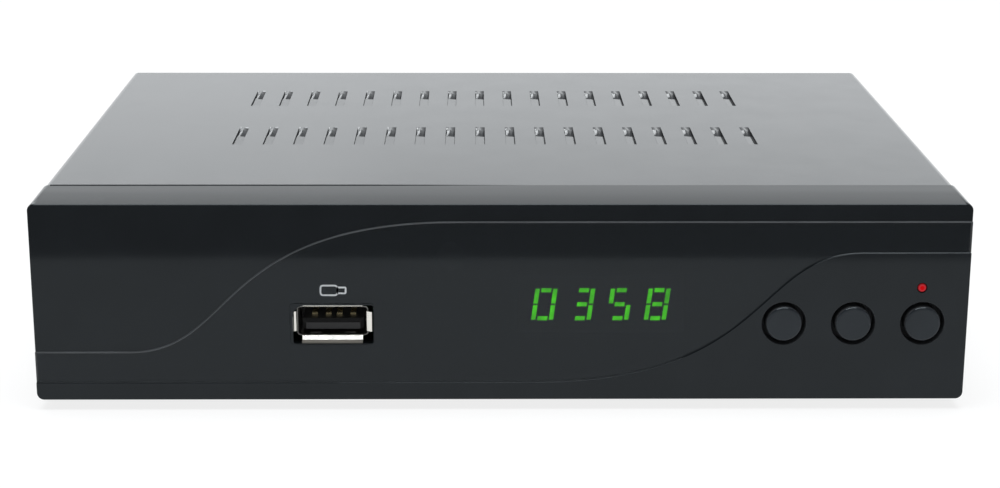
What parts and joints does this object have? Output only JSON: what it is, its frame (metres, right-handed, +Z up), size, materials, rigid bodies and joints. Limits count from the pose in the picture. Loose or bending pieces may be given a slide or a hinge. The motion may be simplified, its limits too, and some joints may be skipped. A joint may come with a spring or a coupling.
{
  "type": "digital tv receiver",
  "caption": "Flat box receiver for broadcast television: steel case with louvred top, moulded front with push buttons, lit clock display and memory socket, and rear sockets.",
  "frame": {"origin": "on the floor below the middle of the object's box", "axes": "+X to the right of a person facing the front, +Y from the front to the back, +Z up"},
  "size_m": [0.1704, 0.1314, 0.0385],
  "materials": {
    "bezel_plastic": "fine moulded texture",
    "lens_smoke": "smoked satin",
    "cover_paint": "glossy paint",
    "chassis_paint": "satin paint",
    "foot_rubber": "matt",
    "screw_black": "blackened",
    "button_plastic": "satin",
    "switch_plastic": "matt",
    "board_green": "solder mask",
    "screw_zinc": "zinc plated",
    "display_black": "matt",
    "bar_green": "lit",
    "bar_grey": "unlit",
    "spacer_white": "matt",
    "light_red": "lit",
    "socket_black": "matt",
    "socket_metal": "nickel plated",
    "contact_gold": "gold plated",
    "ribbon_grey": "matt",
    "chip_black": "matt",
    "sink_aluminium": "anodised",
    "capacitor_sleeve": "shrink sleeve",
    "coil_ferrite": "matt",
    "can_steel": "tinned",
    "audio_orange": "matt"
  },
  "bodies": {
    "case": {"front_bezel": "bezel_plastic", "fascia_lens": "lens_smoke", "top_cover": "cover_paint", "chassis": "chassis_paint", "rubber_feet": "foot_rubber", "cover_screws": "screw_black", "channel_down_switch": "switch_plastic", "channel_up_switch": "switch_plastic", "standby_switch": "switch_plastic", "switch_domes": "can_steel", "front_board": "board_green", "front_board_screws": "screw_zinc", "display_housing": "display_black", "lit_bars": "bar_green", "unlit_bars": "bar_grey", "display_spacer": "spacer_white", "standby_light_pipe": "light_red", "standby_led": "light_red", "infrared_receiver": "socket_black", "usb_shell": "socket_metal", "usb_tongue": "socket_black", "usb_contacts": "contact_gold", "front_header": "spacer_white", "ribbon_cable": "ribbon_grey", "main_header": "spacer_white", "main_board": "board_green", "board_screws": "screw_zinc", "main_chip": "chip_black", "heat_sink": "sink_aluminium", "memory_chips": "chip_black", "capacitors": "capacitor_sleeve", "crystal": "can_steel", "power_coils": "coil_ferrite", "tuner_can": "can_steel", "aerial_in_barrel": "socket_metal", "aerial_in_insulator": "spacer_white", "aerial_in_contact": "contact_gold", "aerial_out_sleeve": "socket_metal", "aerial_out_insulator": "spacer_white", "aerial_out_pin": "contact_gold", "video_socket_shell": "socket_metal", "video_socket_tongue": "socket_black", "av_socket": "socket_black", "av_contacts": "contact_gold", "audio_socket_base": "audio_orange", "audio_socket_ring": "socket_metal", "power_inlet": "socket_black", "power_inlet_pin": "socket_metal"},
    "channel_down": {"channel_down_button": "button_plastic", "channel_down_plunger": "switch_plastic"},
    "channel_up": {"channel_up_button": "button_plastic", "channel_up_plunger": "switch_plastic"},
    "standby": {"standby_button": "button_plastic", "standby_plunger": "switch_plastic"}
  },
  "joints": [
    {"name": "channel_down_press", "type": "slide", "parent": "case", "child": "channel_down", "axis": [0, 1, 0], "range_m": [0, 0.0005], "stiffness_N_per_m": 800},
    {"name": "channel_up_press", "type": "slide", "parent": "case", "child": "channel_up", "axis": [0, 1, 0], "range_m": [0, 0.0005], "stiffness_N_per_m": 800},
    {"name": "standby_press", "type": "slide", "parent": "case", "child": "standby", "axis": [0, 1, 0], "range_m": [0, 0.0005], "stiffness_N_per_m": 800}
  ]
}
